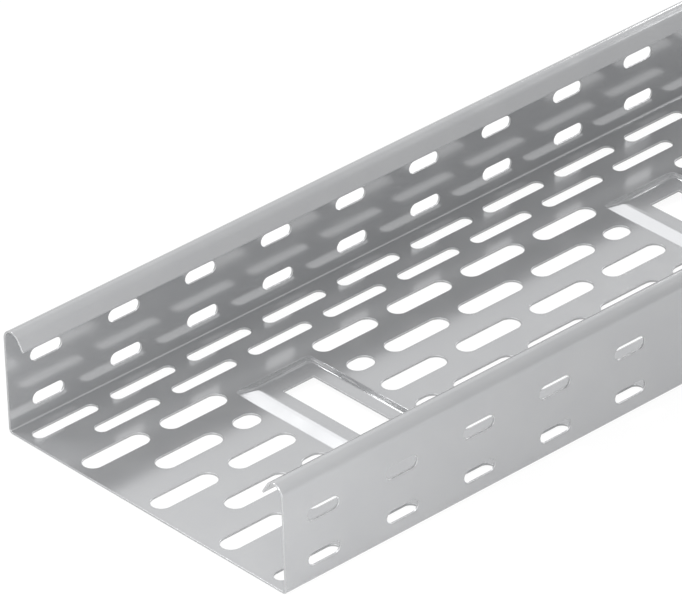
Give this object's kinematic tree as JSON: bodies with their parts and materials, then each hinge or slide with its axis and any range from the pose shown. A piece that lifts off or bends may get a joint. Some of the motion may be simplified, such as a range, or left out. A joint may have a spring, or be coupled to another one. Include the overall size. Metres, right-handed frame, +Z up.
{
  "type": "perforated cable tray",
  "caption": "Straight length of folded sheet-steel cable tray with a slotted base, slotted walls, rolled lips and pressed base panels with a rectangular cut-out.",
  "frame": {"origin": "middle of the underside, where the tray rests", "axes": "+X along the tray, +Y across it from wall to wall, +Z up out of the open side"},
  "size_m": [0.5, 0.2008, 0.06],
  "materials": {
    "galvanised_steel": "strip galvanised, satin"
  },
  "bodies": {
    "root": {"cable_tray": "galvanised_steel"}
  },
  "joints": []
}
